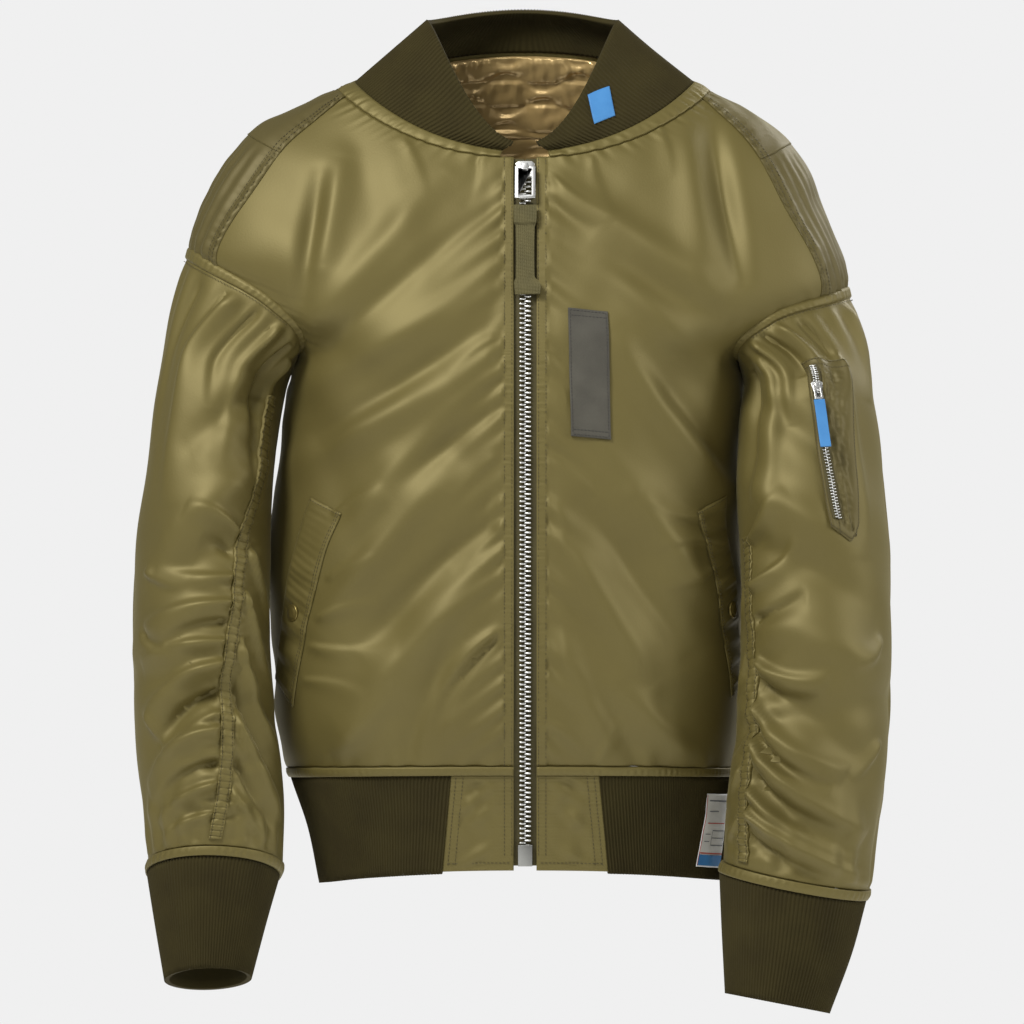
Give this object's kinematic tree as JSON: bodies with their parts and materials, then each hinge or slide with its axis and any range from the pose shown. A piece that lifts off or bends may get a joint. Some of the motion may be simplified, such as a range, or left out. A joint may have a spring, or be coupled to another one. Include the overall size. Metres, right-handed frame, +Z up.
{
  "type": "bomber jacket",
  "caption": "Zipped satin bomber jacket in its worn hollow form, with rib collar, cuffs and hem, gathered sleeves and a zipped sleeve pocket.",
  "frame": {"origin": "between the wearer's shoulders, level with the neck and below the middle of the neck opening, where the shoulders hold the jacket", "axes": "+Z up, the front and its zip face -Y, the wearer's left is +X"},
  "size_m": [0.6332, 0.2854, 0.8415],
  "materials": {
    "satin": "olive nylon satin with a soft sheen",
    "satin_saddle": "darker olive nylon satin, puckered at its seams",
    "rib_knit": "dark olive rib knit, matt",
    "lining": "glossy tan nylon, wavy quilting",
    "zip_tape": "woven dark olive tape",
    "zip_metal": "silver metal",
    "snap_metal": "olive lacquered brass",
    "webbing": "ribbed olive webbing",
    "patch": "charcoal napped patch",
    "label_blue": "sky blue woven tape",
    "label_white": "white printed label"
  },
  "bodies": {
    "jacket": {"front_left": "satin", "front_right": "satin", "back": "satin", "saddle_upper_left": "satin_saddle", "saddle_lower_left": "satin_saddle", "saddle_upper_right": "satin_saddle", "saddle_lower_right": "satin_saddle", "sleeve_left": "satin", "sleeve_right": "satin", "armhole_seam_left": "satin_saddle", "armhole_seam_right": "satin_saddle", "cuff_binding_left": "satin", "cuff_binding_right": "satin", "cuff_left": "rib_knit", "cuff_right": "rib_knit", "hem_front_left": "satin", "hem_front_right": "satin", "hem_rib": "rib_knit", "hem_binding": "satin", "collar": "rib_knit", "neck_binding": "satin", "zip_tape_left": "zip_tape", "zip_tape_right": "zip_tape", "zip_teeth": "zip_metal", "zip_box": "zip_metal", "zip_slider": "zip_metal", "chest_patch": "patch", "pocket_welt_left": "satin", "pocket_welt_right": "satin", "pocket_snap_left": "snap_metal", "pocket_snap_right": "snap_metal", "gather_strip_left": "satin_saddle", "gather_strip_right": "satin_saddle", "sleeve_pocket": "satin_saddle", "sleeve_zip": "zip_metal", "sleeve_zip_slider": "zip_metal", "collar_label": "label_blue", "hem_label": "label_white", "lining_yoke": "lining", "lining_back": "lining"},
    "main_pull": {"zip_pull": "zip_metal", "zip_pull_strap": "webbing"},
    "sleeve_pull": {"sleeve_zip_pull": "zip_metal", "sleeve_zip_tag": "label_blue"}
  },
  "joints": [
    {"name": "main_pull_swing", "type": "hinge", "parent": "jacket", "child": "main_pull", "pos_m": [0, -0.09167, -0.05919], "axis": [-1, 0, 0], "range_deg": [0, 140]},
    {"name": "sleeve_pull_swing", "type": "hinge", "parent": "jacket", "child": "sleeve_pull", "pos_m": [0.24274, -0.11582, -0.24094], "axis": [-0.9894, -0.1294, -0.0655], "range_deg": [0, 140]}
  ]
}
